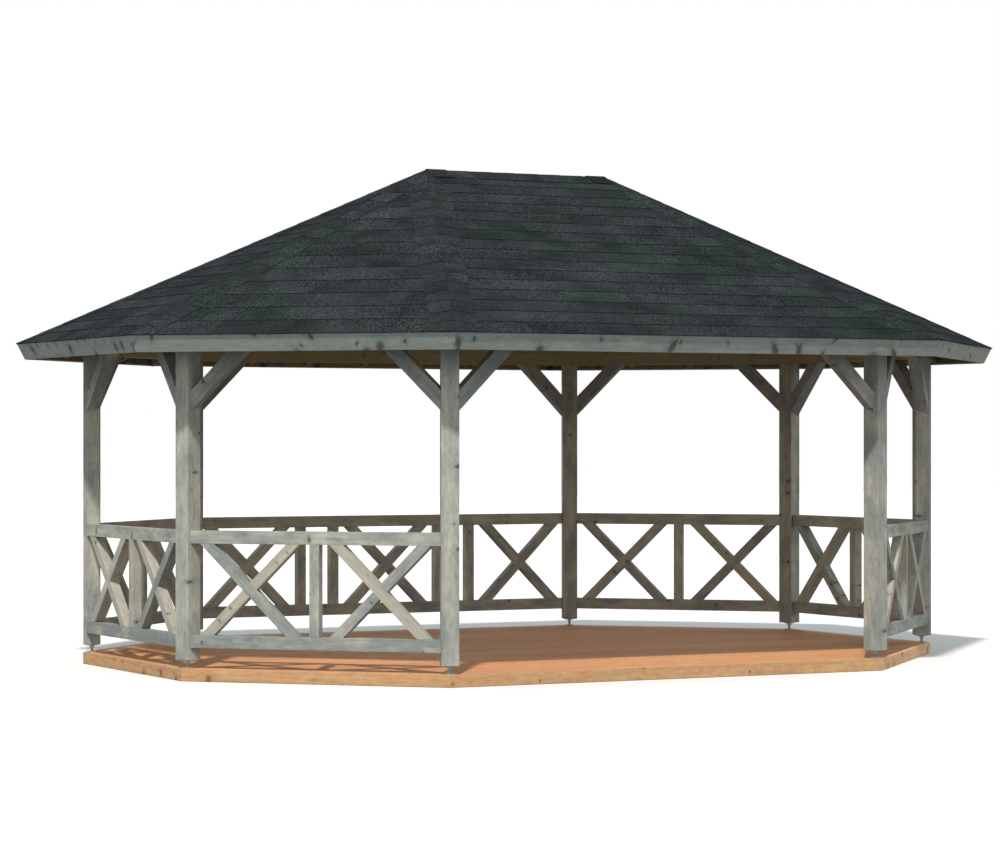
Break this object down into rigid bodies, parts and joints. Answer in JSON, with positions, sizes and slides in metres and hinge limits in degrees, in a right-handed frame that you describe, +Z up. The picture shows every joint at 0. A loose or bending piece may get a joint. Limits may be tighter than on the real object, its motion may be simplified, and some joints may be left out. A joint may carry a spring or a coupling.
{
  "type": "garden gazebo",
  "caption": "Open timber garden gazebo: posts on a long octagon, crossed railings, knee braces, a low deck and a hipped shingle roof.",
  "frame": {"origin": "middle of the deck's underside, on the ground", "axes": "+X along the ridge to the right as seen from the open entrance side, +Y to the back, +Z up"},
  "size_m": [7.0196, 5.5196, 3.62],
  "materials": {
    "deck_pine": "brown-oiled softwood boards",
    "anchor_steel": "galvanised steel",
    "post_pine": "grey-green impregnated pine",
    "railing_pine": "grey-green impregnated pine",
    "frame_pine": "impregnated pine",
    "fascia_pine": "grey-green impregnated pine",
    "rafter_pine": "planed softwood",
    "bitumen_shingle": "mineral-surfaced bitumen felt"
  },
  "bodies": {
    "root": {"deck_boards": "deck_pine", "deck_joists": "deck_pine", "deck_rim_straight": "deck_pine", "deck_rim_corner": "deck_pine", "post_anchors": "anchor_steel", "post_front_right": "post_pine", "post_right_front": "post_pine", "post_right_back": "post_pine", "post_back_right": "post_pine", "post_back_left": "post_pine", "post_left_back": "post_pine", "post_left_front": "post_pine", "post_front_left": "post_pine", "railing_front_right": "railing_pine", "railing_right": "railing_pine", "railing_back_right": "railing_pine", "railing_back": "railing_pine", "railing_back_left": "railing_pine", "railing_left": "railing_pine", "railing_front_left": "railing_pine", "wall_plates_straight": "frame_pine", "wall_plates_corner": "frame_pine", "braces_front": "frame_pine", "braces_front_right": "frame_pine", "braces_right": "frame_pine", "braces_back_right": "frame_pine", "braces_back": "frame_pine", "braces_back_left": "frame_pine", "braces_left": "frame_pine", "braces_front_left": "frame_pine", "fascia_straight": "fascia_pine", "fascia_corner": "fascia_pine", "common_rafters": "rafter_pine", "hip_rafters": "rafter_pine", "ridge_hubs": "rafter_pine", "ridge_beam": "rafter_pine", "roof_front": "bitumen_shingle", "roof_front_right": "bitumen_shingle", "roof_right": "bitumen_shingle", "roof_back_right": "bitumen_shingle", "roof_back": "bitumen_shingle", "roof_back_left": "bitumen_shingle", "roof_left": "bitumen_shingle", "roof_front_left": "bitumen_shingle", "ridge_cap": "bitumen_shingle"}
  },
  "joints": []
}
